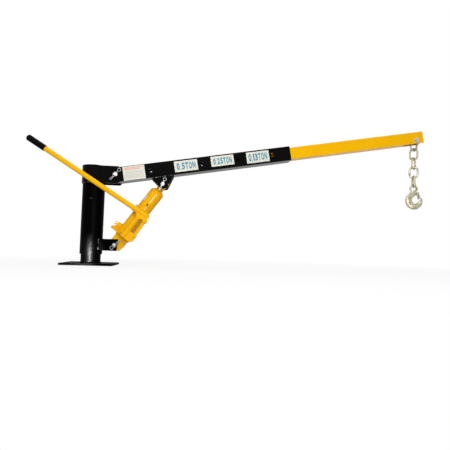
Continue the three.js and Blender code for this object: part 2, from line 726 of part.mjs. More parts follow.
function pumpPiston() {
  const rod = move(bar(piston.radius, pistonPin.z - piston.tail), pump.along, pumpY, piston.tail);
  const eyeRound = crossBar(
    piston.head,
    pistonPin.x,
    pumpY - piston.thick / 2,
    pistonPin.z,
    piston.thick,
  );
  const wide = pumpPin.radius + piston.sideways;
  const high = pumpPin.radius + piston.lengthways;
  const oval = new THREE.Shape();
  oval.absellipse(pistonPin.x, pistonPin.z, wide, high, 0, 2 * Math.PI, false);
  return cut(join(rod, eyeRound), slab(oval, pumpY - overrun, 2 * overrun));
}

function pumpLink() {
  const low = new THREE.Vector2(linkBar.footX, linkBar.footZ);
  const high = new THREE.Vector2(linkBar.topX, linkBar.topZ);
  const start = Math.atan2(high.y - low.y, high.x - low.x) - Math.PI / 2;
  const outline = new THREE.Shape();
  outline.absarc(high.x, high.y, linkBar.halfWidth, start, start + Math.PI, false);
  outline.absarc(low.x, low.y, linkBar.halfWidth, start + Math.PI, start + 2 * Math.PI, false);
  const bore = pumpPin.radius + seat;
  return cut(
    slab(outline, pumpY - linkBar.thick / 2, linkBar.thick),
    crossBar(bore, low.x, pumpY - overrun, low.y, 2 * overrun),
    crossBar(bore, high.x, pumpY - overrun, high.y, 2 * overrun),
  );
}

const socketWay = new THREE.Vector3(Math.cos(socket.tilt * degree), 0, Math.sin(socket.tilt * degree));
const socketStart = new THREE.Vector3(socket.start, pumpY, socket.startZ);
const socketEnd = socketStart.clone().addScaledVector(socketWay, socket.length);
const leverHalf = forkHalf + lever.wall;

// The socket's barrel: a round bar in the handle's line, domed at its inner end
function socketBarrel() {
  const profile = [
    [0, 0],
    [socket.radius, 0],
  ];
  for (let step = 0; step < smallArc; step += 1) {
    const turn = (step / smallArc) * (Math.PI / 2);
    const along = socket.length - socket.dome * (1 - Math.sin(turn));
    profile.push([socket.radius * Math.cos(turn), along]);
  }
  profile.push([0, socket.length]);
  const turn = new THREE.Quaternion().setFromUnitVectors(new THREE.Vector3(0, 0, 1), socketWay);
  const barrel = turned(profile, fine).applyQuaternion(turn);
  return barrel.translate(socketStart.x, socketStart.y, socketStart.z);
}

function handleSocket() {
  const middle = new THREE.Vector2(socketStart.x + lever.webLeft, socketStart.z);
  const web = new THREE.Shape();
  web.moveTo(middle.x, middle.y);
  web.lineTo(pistonPin.x - lever.lobe, pistonPin.z);
  web.absarc(pistonPin.x, pistonPin.z, lever.lobe, Math.PI, 2 * Math.PI, false);
  web.lineTo(linkBar.topX - lever.lobe, linkBar.topZ);
  web.absarc(linkBar.topX, linkBar.topZ, lever.lobe, Math.PI, 2 * Math.PI, false);
  web.lineTo(socketEnd.x, socketEnd.z);
  const screwAt = socketStart.clone().addScaledVector(socketWay, clamp.inset);
  const up = new THREE.Vector3(-socketWay.z, 0, socketWay.x);
  const bossTop = screwAt.clone().addScaledVector(up, socket.radius + clamp.bossStand);
  const bulk = join(
    socketBarrel(),
    slab(web, pumpY - leverHalf, 2 * leverHalf),
    barBetween(clamp.boss, screwAt, bossTop, coarse),
  );
  const behind = socketStart.clone().addScaledVector(socketWay, -overrun);
  const floor = socketStart.clone().addScaledVector(socketWay, handle.depth + seat);
  const eyeRoom = piston.head + piston.sideways + 2 * seat;
  const gap = block(
    pistonPin.x - eyeRoom,
    pumpY - forkHalf,
    pistonPin.z - 2 * overrun,
    linkBar.topX + linkBar.halfWidth + overrun,
    pumpY + forkHalf,
    Math.max(pistonPin.z + eyeRoom, linkBar.topZ + linkBar.halfWidth + seat),
  );
  const above = screwAt.clone().addScaledVector(up, 2 * overrun);
  return cut(
    bulk,
    gap,
    barBetween(socket.bore, behind, floor),
    barBetween(clamp.radius + seat, screwAt, above, coarse),
    crossBar(pumpPin.radius + seat, pistonPin.x, pumpY - overrun, pistonPin.z, 2 * overrun),
    crossBar(pumpPin.radius + seat, linkBar.topX, pumpY - overrun, linkBar.topZ, 2 * overrun),
  );
}

function clampScrew() {
  const up = new THREE.Vector3(-socketWay.z, 0, socketWay.x);
  const screwAt = socketStart.clone().addScaledVector(socketWay, clamp.inset);
  const tip = screwAt.clone().addScaledVector(up, handle.radius + seat);
  const under = screwAt.clone().addScaledVector(up, socket.radius + clamp.bossStand + seat);
  const top = under.clone().addScaledVector(up, clamp.headThick);
  const middle = under.clone().lerp(top, 1 / 2);
  return join(barBetween(clamp.radius, tip, middle, coarse), barBetween(clamp.head, under, top, hexagon));
}

function leverPin(x, z, outer) {
  const low = pumpY - outer - seat - pumpPin.headThick;
  const length = 2 * (outer + seat) + pumpPin.headThick;
  const shank = crossBar(pumpPin.radius, x, low, z, length + pumpPin.headThick);
  const nearHead = crossBar(pumpPin.radius + pumpPin.headThick, x, low, z, pumpPin.headThick);
  return join(shank, nearHead);
}

const handleInner = socketStart.clone().addScaledVector(socketWay, handle.depth);
const gripMouth = socketStart.clone().addScaledVector(socketWay, -handle.visible);
const handleOuter = gripMouth.clone().addScaledVector(socketWay, -grip.over);

function handleTube() {
  const hollow = barBetween(
    handle.radius - handle.wall,
    handleInner.clone().addScaledVector(socketWay, overrun),
    handleOuter.clone().addScaledVector(socketWay, -overrun),
  );
  return cut(barBetween(handle.radius, handleInner, handleOuter), hollow);
}

function handleGrip() {
  const bore = handle.radius + seat;
  const floor = grip.over + seat;
  const profile = [
    [0, floor],
    [bore, floor],
    [bore, 0],
    [grip.radius, 0],
    [grip.radius, grip.length - grip.soft],
    [grip.radius - grip.soft, grip.length],
    [0, grip.length],
  ];
  const up = new THREE.Vector3(0, 0, 1);
  const turn = new THREE.Quaternion().setFromUnitVectors(up, socketWay.clone().negate());
  const geometry = turned(profile, medium).applyQuaternion(turn);
  return geometry.translate(gripMouth.x, gripMouth.y, gripMouth.z);
}

const pumpTube = move(
  pipe(pump.radius, pump.bore, pump.top - pump.bossTop - seat),
  pump.along,
  pumpY,
  pump.bossTop + seat,
);

const jackGroup = group(
  piece('jack_base', finish.yellow, jackBase()),
  piece(
    'reservoir_tube',
    finish.yellow,
    move(pipe(reservoir.radius, tankInner, tankTop - tankFoot, fine), 0, 0, tankFoot),
  ),
  piece(
    'jack_cylinder',
    finish.steel,
    move(pipe(cylinder.radius, cylinder.bore, cylinder.top - tankFoot, fine), 0, 0, tankFoot),
  ),
  piece('jack_top_nut', finish.yellow, jackTopNut()),
  piece('filler_boss', finish.yellow, fillerBoss()),
  piece('filler_plug', finish.rubber, fillerPlug()),
  piece('release_valve', finish.brass, releaseValve()),
  piece('pump_cylinder', finish.yellow, pumpTube),
  piece('pump_piston', finish.steel, pumpPiston()),
  piece('pump_link', finish.yellow, pumpLink()),
  piece('link_foot_pin', finish.yellow, leverPin(linkBar.footX, linkBar.footZ, earHalf)),
  piece('handle_socket', finish.yellow, handleSocket()),
  piece('socket_screw', finish.zinc, clampScrew()),
  piece('fulcrum_pin', finish.yellow, leverPin(linkBar.topX, linkBar.topZ, leverHalf)),
  piece('piston_pin', finish.yellow, leverPin(pistonPin.x, pistonPin.z, leverHalf)),
  piece('handle_tube', finish.yellow, handleTube()),
  piece('handle_grip', finish.rubber, handleGrip()),
  piece(
    'ram_rod',
    finish.steel,
    move(bar(ram.radius, nutTop + ram.headGap - seat - ram.tail, fine), 0, 0, ram.tail),
  ),
  piece('ram_head', finish.yellow, ramHead()),
);
jackGroup.position.set(foot.x, 0, foot.z);
jackGroup.rotation.y = jackLean;

// Chain, hook and latch, hanging plumb from the bolt

const boltX = pivot.x + boltAlong * boomWay.x + bolt.below * boomWay.y;
const boltZ = pivot.z + boltAlong * boomWay.y - bolt.below * boomWay.x;
const firstLink = boltZ + bolt.radius + seat - chain.innerLength / 2;
const linkDrop = chain.innerLength - seat;

// One link: a ring whose upper and lower halves are drawn apart
function chainLink() {
  const bend = chain.innerWidth / 2 + chain.wire;
  const ring = new THREE.TorusGeometry(bend, chain.wire, chain.sides, chain.steps);
  ring.rotateZ(Math.PI / chain.steps);
  const stretch = (chain.innerLength - chain.innerWidth) / 2;
  const place = ring.attributes.position;
  for (let i = 0; i < place.count; i += 1) {
    place.setY(i, place.getY(i) + stretch * Math.sign(place.getY(i)));
  }
  return ring.rotateX(Math.PI / 2);
}

const links = chainTurns.map((turn, index) => {
  const link = piece(`chain_link_${index + 1}`, finish.galvanised, chainLink());
  link.position.set(boltX, 0, firstLink - index * linkDrop);
  link.rotation.z = turn * degree;
  return link;
});
const hookZ = firstLink - (chain.count - 1) * linkDrop - chain.innerLength / 2 + seat - eye.hole;

// The hook's outline, in X and Z from its eye: a round back, a bowl and a mouth under the latch
function hookBody() {
  const rim = { depth: back.thick - 2 * back.bevel, bevelSize: back.bevel, bevelThickness: back.bevel };
  const disc = new THREE.Shape();
  disc.absarc(back.x, back.z, back.radius - back.bevel, 0, 2 * Math.PI, false);
  const round = new THREE.ExtrudeGeometry(disc, {
    ...rim,
    bevelSegments: back.bevelSteps,
    curveSegments: wideArc,
  });
  round.rotateX(Math.PI / 2).translate(0, back.thick / 2 - back.bevel, 0);
  const throat = polygon([
    [bowl.x - bowl.radius, bowl.z + seat],
    [mouth.apexX, mouth.apexZ],
    [mouth.lip, -mouth.clear],
    [back.x + back.radius + overrun, -mouth.clear],
    [back.x + back.radius + overrun, mouth.tipZ],
    [mouth.tipX, mouth.tipZ],
    [bowl.x + bowl.radius, bowl.z],
  ]);
  const reach = back.thick;
  const room = crossBar(latch.room, latch.x, -reach, latch.z, 2 * reach);
  const body = cut(
    round,
    slab(throat, -reach, 2 * reach),
    crossBar(bowl.radius, bowl.x, -reach, bowl.z, 2 * reach),
    room,
  );
  const ring = crossBar(eye.radius, 0, -eye.thick / 2, 0, eye.thick);
  const neckSlab = slab(
    polygon([
      [-neck.topX, neck.topZ],
      [-neck.lowX, neck.lowZ],
      [neck.right, neck.lowZ],
      [neck.right, neck.topZ],
    ]),
    -eye.thick / 2,
    eye.thick,
  );
  const tongue = slab(
    polygon([
      [0, 0],
      [latch.x, latch.z + latchSheet.ear],
      [latch.x + latchSheet.ear, latch.z],
      [latch.x, latch.z - latchSheet.ear],
      [0, latch.z - latchSheet.ear],
    ]),
    -latch.lug / 2,
    latch.lug,
  );
  const whole = join(body, cut(neckSlab, room), ring, tongue);
  const flared = turned(
    [
      [0, -reach],
      [eye.hole + eye.flare, -reach],
      [eye.hole + eye.flare, -eye.thick / 2],
      [eye.hole, -eye.land / 2],
      [eye.hole, eye.land / 2],
      [eye.hole + eye.flare, eye.thick / 2],
      [eye.hole + eye.flare, reach],
      [0, reach],
    ],
    medium,
  );
  return cut(
    whole,
    flared.rotateX(-Math.PI / 2),
    crossBar(latch.pin + seat, latch.x, -reach, latch.z, 2 * reach, coarse),
  );
}

// The latch: a folded sheet whose web closes the mouth and whose two flanges turn on the pin
function hookLatch() {
  const { thick, deep, ear, waist, lip, slant, webStart } = latchSheet;
  const way = new THREE.Vector2(latch.endX - latch.x, latch.endZ - latch.z);
  const length = way.length();
  const halfWidth = latch.width / 2;
  const web = block(-deep, -halfWidth, webStart, thick - deep, halfWidth, length - slant);
  const outline = polygon([
    [-deep, -ear],
    [ear / 2, -ear],
    [ear, -ear / 2],
    [ear, ear / 2],
    [waist, 2 * ear],
    [lip, length],
    [-deep, length - slant],
  ]);
  const flanges = [-halfWidth, halfWidth - thick].map((low) => slab(outline, low, thick));
  const hole = crossBar(latch.pin + seat, 0, -overrun, 0, 2 * overrun, coarse);
  const shape = cut(join(web, ...flanges), hole);
  return shape.rotateY(Math.atan2(way.x, way.y)).translate(latch.x, 0, latch.z);
}

const latchPinLength = latch.width + 2 * seat;
const latchPin = crossBar(latch.pin, latch.x, -latchPinLength / 2, latch.z, latchPinLength, coarse);

const hookGroup = group(
  piece('hook', finish.galvanised, hookBody()),
  piece('hook_latch', finish.zinc, hookLatch()),
  piece('latch_pin', finish.zinc, latchPin),
);
hookGroup.position.set(boltX, 0, hookZ);

const crane = group(base, mast, boomGroup, jackGroup, ...links, hookGroup);
export default crane;
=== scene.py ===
"""A fixed hydraulic jib crane: finishes, labels, weld beads, a forged hook and soft studio light
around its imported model. Shapes are worked out in millimetres, and MM turns them into metres."""
import json
import math

import bmesh
import bpy
import numpy as np
from mathutils import Matrix, Vector

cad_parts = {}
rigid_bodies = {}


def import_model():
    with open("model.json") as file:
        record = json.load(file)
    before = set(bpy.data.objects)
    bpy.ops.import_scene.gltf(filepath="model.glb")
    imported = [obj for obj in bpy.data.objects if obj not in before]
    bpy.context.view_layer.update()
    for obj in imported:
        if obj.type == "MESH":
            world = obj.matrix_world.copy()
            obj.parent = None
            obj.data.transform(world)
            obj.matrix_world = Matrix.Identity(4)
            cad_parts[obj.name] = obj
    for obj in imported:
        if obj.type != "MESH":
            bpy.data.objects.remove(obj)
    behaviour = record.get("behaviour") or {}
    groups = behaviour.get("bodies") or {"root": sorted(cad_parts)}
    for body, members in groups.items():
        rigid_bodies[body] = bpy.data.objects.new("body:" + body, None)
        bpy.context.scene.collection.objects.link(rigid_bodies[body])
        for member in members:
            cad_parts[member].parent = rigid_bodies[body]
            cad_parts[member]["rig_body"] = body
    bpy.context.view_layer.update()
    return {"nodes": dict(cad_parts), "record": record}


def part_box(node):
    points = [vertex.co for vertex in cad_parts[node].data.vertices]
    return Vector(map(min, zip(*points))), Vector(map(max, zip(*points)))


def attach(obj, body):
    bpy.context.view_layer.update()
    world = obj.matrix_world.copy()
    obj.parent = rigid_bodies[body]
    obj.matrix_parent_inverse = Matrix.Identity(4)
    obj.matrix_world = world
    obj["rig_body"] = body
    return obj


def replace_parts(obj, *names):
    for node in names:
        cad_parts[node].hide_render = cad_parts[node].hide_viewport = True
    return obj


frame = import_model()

MM = 0.001
DEGREE = math.pi / 180
TINY = 1e-9

# Camera, fitted to the crane's pins, tubes and foot plate: metres, degrees, lens and film in millimetres
CAMERA = {
    "place": (0.36064, -1.75672, 0.07802),
    "turn": {"yaw": -5.905, "pitch": 3.273, "roll": 1.666},
    "lens": 33.714,
    "film": 36.0,
    "sees": (0.05, 100.0),
}

# Places on the crane, in millimetres: the boom's pivot, its pitch and half its width, the jack's upper
# pin along the boom and square to it, the jack's lower pin and its reservoir's radius
PIVOT = np.array([90.0, 0.0, 365.0])
BOOM_PITCH = 10 * DEGREE
BOOM_HALF = 30.0
RAM_PIN = (182.0, -62.0)
FOOT_PIN = np.array([96.0, 0.0, 82.0])
RESERVOIR_RADIUS = 29.5


def on_slope(origin, pitch, ahead, up, across):
    """The point that lies ahead along a slope from its origin, up square to it and across in y."""
    c, d = math.cos(pitch), math.sin(pitch)
    ahead, up, across = np.broadcast_arrays(*(np.asarray(v, float) for v in (ahead, up, across)))
    return np.stack([origin[0] + ahead * c - up * d, across, origin[2] + ahead * d + up * c], -1)


def along_boom(s, n, y):
    """The point s along the boom from its pivot, n square to it and y across."""
    return on_slope(PIVOT, BOOM_PITCH, s, n, y)


ram_pin = along_boom(*RAM_PIN, 0.0)
JACK_PITCH = math.atan2(ram_pin[2] - FOOT_PIN[2], ram_pin[0] - FOOT_PIN[0])


def along_jack(x, z, y):
    """The point z along the jack from its lower pin, x square to it and y across."""
    return on_slope(FOOT_PIN, JACK_PITCH, z, -np.asarray(x, float), y)


boom_way = along_boom(1.0, 0.0, 0.0) - PIVOT
jack_way = along_jack(0.0, 1.0, 0.0) - FOOT_PIN

# Materials


class Wire:
    """One output socket of a material; a sum, difference or product of wires adds its Math nodes, also
    where a number comes first."""

    def __init__(self, finish, socket):
        self.finish = finish
        self.socket = socket

    def math(self, operation, other, clamp=False):
        settings = {"operation": operation, "use_clamp": clamp}
        return self.finish.node("ShaderNodeMath", settings, {0: self, 1: other})

    def __add__(self, other):
        return self.math("ADD", other)

    __radd__ = __add__

    def __mul__(self, other):
        return self.math("MULTIPLY", other)

    __rmul__ = __mul__

    def __sub__(self, other):
        return self.math("SUBTRACT", other)

    def __rsub__(self, other):
        return self * -1.0 + other

    def above(self, low, high):
        """Zero where the value is under low, one where it is over high, and a soft step between."""
        settings = {"interpolation_type": "SMOOTHSTEP", "clamp": True}
        return self.finish.node("ShaderNodeMapRange", settings, {0: self, 1: low, 2: high})


class Finish:
    """A material or a world under construction, with the few moves that they share."""

    def __init__(self, name, owner=None):
        self.owner = owner or bpy.data.materials.new(name)
        self.owner.use_nodes = True
        self.tree = self.owner.node_tree
        self.tree.nodes.clear()

    def node(self, kind, settings=None, values=None, output=0):
        """Adds a node: its settings first, then the values or wires of its sockets."""
        made = self.tree.nodes.new(kind)
        for key, value in (settings or {}).items():
            setattr(made, key, value)
        for key, value in (values or {}).items():
            if isinstance(value, Wire):
                self.tree.links.new(value.socket, made.inputs[key])
            else:
                made.inputs[key].default_value = value
        return None if output is None else Wire(self, made.outputs[output])

    def place(self, stretch=(1, 1, 1)):
        """The surface's own place in metres, stretched."""
        at = self.node("ShaderNodeTexCoord", output="Object")
        return self.node("ShaderNodeMapping", {}, {"Vector": at, "Scale": stretch})

    def noise(self, place, scale, detail, roughness=0.55):
        """Soft noise from zero to one, with about scale swells in a metre."""
        values = {"Vector": place, "Scale": scale, "Detail": detail, "Roughness": roughness}
        return self.node("ShaderNodeTexNoise", {}, values)

    def mix(self, share, first, second):
        """A colour between two, by a share from zero to one. The node's colours are its sockets 6 and
        7, and its output 2."""
        return self.node("ShaderNodeMix", {"data_type": "RGBA"}, {0: share, 6: first, 7: second}, output=2)

    def bump(self, height, depth):
        """A surface that rises by depth where the height goes from zero to one."""
        return self.node("ShaderNodeBump", {}, {"Height": height, "Distance": depth, "Strength": 1.0})

    def shade(self, **values):
        """Ends the material with a Principled shader that has these socket values."""
        named = {key.replace("_", " "): value for key, value in values.items()}
        return self.end(self.node("ShaderNodeBsdfPrincipled", {}, named, output="BSDF"))

    def end(self, surface, kind="ShaderNodeOutputMaterial"):
        self.node(kind, {}, {"Surface": surface}, output=None)
        return self.owner

    def seen(self):
        """One for rays that show a background: the camera's own, a mirror's and a glass's."""
        kinds = ("Is Camera Ray", "Is Glossy Ray", "Is Transmission Ray")
        camera, glossy, through = (self.node("ShaderNodeLightPath", output=kind) for kind in kinds)
        return (camera + glossy).math("ADD", through, clamp=True)


def rgb(red, green, blue):
    """A linear colour from the red, green and blue of a screen, each from 0 to 255: a share over 0.04045
    becomes ((share + 0.055) / 1.055) ** 2.4, and a lower one share / 12.92."""
    shares = np.array([red, green, blue]) / 255
    linear = np.where(shares <= 0.04045, shares / 12.92, ((shares + 0.055) / 1.055) ** 2.4)
    return (*linear.tolist(), 1.0)


def paint(name, colour, dusty, roughness, specular, peel=0.01 * MM, wear=0.06):
    """Sprayed enamel: faint patches of dust, an orange-peel skin and small scuffs. Wear is how much
    rougher than the rest the dust and the scuffs are."""
    finish = Finish(name)
    place = finish.place()
    cloud = finish.noise(place, scale=9.0, detail=4.0)
    skin = finish.noise(place, scale=420.0, detail=2.0)
    scuff = finish.noise(finish.place(stretch=(1, 1, 0.15)), scale=260.0, detail=4.0).above(0.62, 0.74)
    return finish.shade(
        Base_Color=finish.mix(cloud.above(0.42, 0.72) * 0.3 + scuff * 0.05, colour, dusty),
        Roughness=(cloud + scuff) * wear + roughness,
        Specular_IOR_Level=specular,
        Normal=finish.bump(skin, depth=peel),
    )


def cast_paint(name, colour, dusty):
    """Enamel on a sand casting: the casting's soft swells and grain show through the paint."""
    finish = Finish(name)
    place = finish.place()
    grain = finish.noise(place, scale=380.0, detail=3.0)
    swell = finish.noise(place, scale=60.0, detail=2.0)
    cloud = finish.noise(place, scale=14.0, detail=4.0)
    return finish.shade(
        Base_Color=finish.mix(cloud.above(0.4, 0.75) * 0.5, colour, dusty),
        Roughness=grain * 0.08 + 0.14,
        Specular_IOR_Level=0.07,
        Normal=finish.bump(grain * 0.1 + swell, depth=0.12 * MM),
    )


def weld_paint(name, colour, bare):
    """Black enamel on a weld bead, worn to glinting specks of bare metal on the ripples."""
    finish = Finish(name)
    speck = finish.noise(finish.place(), scale=330.0, detail=3.0, roughness=0.7).above(0.56, 0.64)
    return finish.shade(
        Base_Color=finish.mix(speck, colour, bare),
        Metallic=speck * 0.6,
        Roughness=speck * -0.1 + 0.35,
        Specular_IOR_Level=0.15,
        Normal=finish.bump(speck, depth=0.1 * MM),
    )


def plated(name, bright, dull, roughness, blotch, metal=1.0):
    """Plated or ground steel: blotches of a duller tone, about blotch of them in a metre, and fine drawn
    lines. Thick zinc is less of a metal."""
    finish = Finish(name)
    patch = finish.noise(finish.place(), scale=blotch, detail=3.0)
    fine = finish.noise(finish.place(stretch=(1, 1, 0.2)), scale=700.0, detail=2.0)
    return finish.shade(
        Base_Color=finish.mix(patch.above(0.3, 0.75), bright, dull),
        Metallic=metal,
        Roughness=patch * 0.16 + fine * 0.06 + roughness,
        Normal=finish.bump(fine, depth=0.02 * MM),
    )


def moulded(name, colour, worn):
    """Moulded rubber, vinyl or nylon: a fine grain and a slight bloom."""
    finish = Finish(name)
    place = finish.place()
    grain = finish.noise(place, scale=1400.0, detail=3.0)
    bloom = finish.noise(place, scale=24.0, detail=4.0)
    return finish.shade(
        Base_Color=finish.mix(bloom.above(0.45, 0.8) * 0.6, colour, worn),
        Roughness=bloom * 0.15 + 0.5,
        Specular_IOR_Level=0.05,
        Normal=finish.bump(grain, depth=0.12 * MM),
    )


def printed_vinyl(name, ground, aged):
    """A vinyl label or its ink: it has aged in soft patches."""
    finish = Finish(name)
    patch = finish.noise(finish.place(), scale=40.0, detail=4.0)
    return finish.shade(
        Base_Color=finish.mix(patch.above(0.4, 0.8) * 0.7, ground, aged),
        Roughness=patch * 0.15 + 0.35,
        Specular_IOR_Level=0.15,
        Normal=finish.bump(patch, depth=0.03 * MM),
    )


YELLOW = rgb(247, 186, 4)
JACK_YELLOW = rgb(246, 182, 4)
YELLOW_DEEP = rgb(236, 166, 2)
BLACK = rgb(7, 7, 7)
BLACK_DUSTY = rgb(15, 15, 13)
JET = rgb(1, 1, 1)
JET_DUSTY = rgb(3, 3, 3)
BOOM_GLOSS = {"roughness": 0.16, "specular": 0.05, "peel": 0.002 * MM}
JACK_GLOSS = {"roughness": 0.22, "specular": 0.07, "peel": 0.001 * MM, "wear": 0.01}
ZINC_GLOSS = {"roughness": 0.3, "blotch": 60.0, "metal": 0.7}
GROUND_GLOSS = {"roughness": 0.16, "blotch": 60.0}

finishes = {
    "black_paint": paint("black enamel", BLACK, BLACK_DUSTY, roughness=0.1, specular=0.035),
    "mast_black": paint("black enamel on round tube", JET, JET_DUSTY, roughness=0.37, specular=0.012),
    "plate_black": paint("black enamel on plate", JET, JET_DUSTY, roughness=0.45, specular=0.004),
    "yellow_paint": paint("yellow enamel", YELLOW, YELLOW_DEEP, **BOOM_GLOSS),
    "jack_yellow": paint("yellow enamel on jack", JACK_YELLOW, YELLOW_DEEP, **JACK_GLOSS),
    "cast_yellow": cast_paint("yellow enamel on casting", JACK_YELLOW, YELLOW_DEEP),
    "weld": weld_paint("black enamel on weld", BLACK, rgb(196, 192, 184)),
    "zinc": plated("bright zinc", rgb(214, 215, 214), rgb(132, 133, 132), roughness=0.22, blotch=150.0),
    "wire": plated("spring wire", rgb(176, 178, 178), rgb(92, 94, 94), roughness=0.25, blotch=240.0),
    "dark_steel": plated("blackened steel", rgb(44, 44, 44), rgb(24, 24, 24), roughness=0.35, blotch=150.0),
    "galvanised": plated("yellowish zinc", rgb(196, 190, 166), rgb(140, 133, 108), **ZINC_GLOSS),
    "bright_steel": plated("ground steel", rgb(214, 215, 216), rgb(176, 178, 180), **GROUND_GLOSS),
    # The ram rod's steel: its darker, browner tones are a painted reflection of the dark and yellow parts
    # round it; the lamps add its highlights.
    "steel_with_painted_reflection": plated("ground steel with painted dark reflection", rgb(150, 138, 118), rgb(110, 98, 80), **GROUND_GLOSS),
    "brass": plated("brassy plating", rgb(232, 200, 84), rgb(196, 160, 60), roughness=0.28, blotch=100.0),
    "rubber": moulded("black vinyl", rgb(3, 3, 3), rgb(10, 10, 10)),
    "plug": moulded("brown rubber", rgb(126, 84, 26), rgb(92, 60, 20)),
    "nylon": moulded("cream nylon", rgb(226, 220, 202), rgb(204, 196, 174)),
    "label": printed_vinyl("label ground", rgb(226, 225, 214), rgb(212, 210, 196)),
    "teal_print": printed_vinyl("teal print", rgb(58, 138, 156), rgb(84, 158, 172)),
    "salmon_print": printed_vinyl("salmon print", rgb(232, 160, 138), rgb(234, 182, 162)),
    "grey_print": printed_vinyl("grey print", rgb(178, 178, 170), rgb(192, 191, 182)),
    "orange_mark": printed_vinyl("orange primer", rgb(206, 134, 36), rgb(170, 104, 30)),
}

# Pieces


def outward(mesh):
    """Turns a closed mesh's faces outwards."""
    work = bmesh.new()
    work.from_mesh(mesh)
    bmesh.ops.recalc_face_normals(work, faces=work.faces)
    work.to_mesh(mesh)
    work.free()


def add(name, mesh, finish, body):
    """A piece that rides on a body, in one finish."""
    mesh.materials.clear()
    mesh.materials.append(finishes[finish])
    piece = bpy.data.objects.new(name, mesh)
    bpy.context.scene.collection.objects.link(piece)
    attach(piece, body)
    return piece


def make(name, points, faces, finish, body, smooth=True):
    """A piece from a closed surface's points, in millimetres, and faces."""
    mesh = bpy.data.meshes.new(name)
    mesh.from_pydata((np.asarray(points) * MM).tolist(), [], [list(face) for face in faces])
    mesh.validate()
    outward(mesh)
    mesh.polygons.foreach_set("use_smooth", np.full(len(mesh.polygons), smooth))
    return add(name, mesh, finish, body)


def around(count):
    """Evenly spaced angles round a full turn."""
    return np.arange(count) * 2 * math.pi / count


def grid_faces(rows, columns, close_rows=False):
    """The faces of a grid of points, closed round its columns, and round its rows too if they close."""
    i, j = np.meshgrid(np.arange(rows if close_rows else rows - 1), np.arange(columns), indexing="ij")
    i, j = i.ravel(), j.ravel()
    down, right = (i + 1) % rows, (j + 1) % columns
    return np.stack([i * columns + j, i * columns + right, down * columns + right, down * columns + j], 1)


def capped(rings):
    """A lofted surface's points and faces, from its rows of rings, with a fan over each end."""
    rows, columns = rings.shape[:2]
    faces = grid_faces(rows, columns).tolist()
    points = rings.reshape(-1, 3)
    end = (rows - 1) * columns
    faces += [[(k + 1) % columns, k, len(points)] for k in range(columns)]
    faces += [[end + k, end + (k + 1) % columns, len(points) + 1] for k in range(columns)]
    return np.vstack([points, rings[0].mean(0)[None], rings[-1].mean(0)[None]]), faces


def tube(path, across, radius, sides, closed=False):
    """Sweeps a circle along a flat path: point = path + radius * (cos(turn) * normal + sin(turn) *
    across), with across square to the path's plane. The radius is one number or one for each point."""
    path = np.asarray(path, float)
    across = np.asarray(across, float) / np.linalg.norm(across)
    if closed:
        tangent = np.roll(path, -1, 0) - np.roll(path, 1, 0)
    else:
        tangent = np.gradient(path, axis=0)
    tangent /= np.linalg.norm(tangent, axis=1, keepdims=True)
    normal = np.cross(across, tangent)
    turn = around(sides)
    circles = np.cos(turn)[None, :, None] * normal[:, None] + np.sin(turn)[None, :, None] * across
    size = np.zeros(len(path)) + radius
    rings = path[:, None] + size[:, None, None] * circles
    if closed:
        return rings.reshape(-1, 3), grid_faces(len(path), sides, close_rows=True).tolist()
    return capped(rings)


def joined(*shapes):
    """Several surfaces as one list of points and one of faces."""
    points, faces, count = [], [], 0
    for shape_points, shape_faces in shapes:
        points.append(shape_points)
        faces += [[corner + count for corner in face] for face in shape_faces]
        count += len(shape_points)
    return np.vstack(points), faces


slots = {part["node"]: part["material_slot"] for part in frame["record"]["subparts"]}
ROUND_SKINS = {"reservoir_tube": (FOOT_PIN, jack_way, RESERVOIR_RADIUS)}

# How near two points of a mesh count as one, and how near a point lies to a plane or a skin; the angles
# between faces that are flat, smoothed over and broken; the cosines of lying along and facing outwards
MERGED = 0.002 * MM
NEAR = 0.1 * MM
FLAT = 1.0 * DEGREE
SMOOTHED = 33 * DEGREE
BROKEN = 40 * DEGREE
ALONG = 0.999
FACING = 0.9


def break_edges(mesh, edge, long_edge):
    """Gives the sharp edges their share of a bevel: the tube's four long outer edges are rolled to
    long_edge millimetres, the other sharp ones are broken by edge millimetres."""
    widest = max(edge, long_edge)
    work = bmesh.new()
    work.from_mesh(mesh)
    share = work.edges.layers.float.new("bevel_weight_edge")
    across = max(abs(vert.co.y) for vert in work.verts)
    for rim in work.edges:
        if len(rim.link_faces) != 2 or rim.calc_face_angle(0) < BROKEN:
            continue
        start, end = (np.array(vert.co) for vert in rim.verts)
        way = (end - start) / max(np.linalg.norm(end - start), TINY)
        rolled = long_edge and abs(way @ boom_way) > ALONG and abs(abs(start[1]) - across) < NEAR
        rim[share] = (long_edge if rolled else edge) / widest
    work.to_mesh(mesh)
    work.free()
    return widest


def turn_true(mesh, centre, way, radius):
    """Gives a round tube's outer skin its true normals, each point's unit vector square to the axis, so
    that a hole in the skin leaves the shine on it straight."""
    place = np.zeros(len(mesh.vertices) * 3)
    mesh.vertices.foreach_get("co", place)
    corner = np.zeros(len(mesh.loops), np.int32)
    mesh.loops.foreach_get("vertex_index", corner)
    offset = place.reshape(-1, 3)[corner] - centre * MM
    offset -= (offset @ way)[:, None] * way
    reach = np.linalg.norm(offset, axis=1)
    outwards = offset / np.maximum(reach, TINY)[:, None]
    facing = np.array([face.normal for face in mesh.polygons for _ in face.loop_indices])
    shaded = np.array([normal.vector for normal in mesh.corner_normals])
    skin = (np.abs(reach - radius * MM) < NEAR) & ((facing * outwards).sum(1) > FACING)
    mesh.normals_split_custom_set(np.where(skin[:, None], outwards, shaded).tolist())


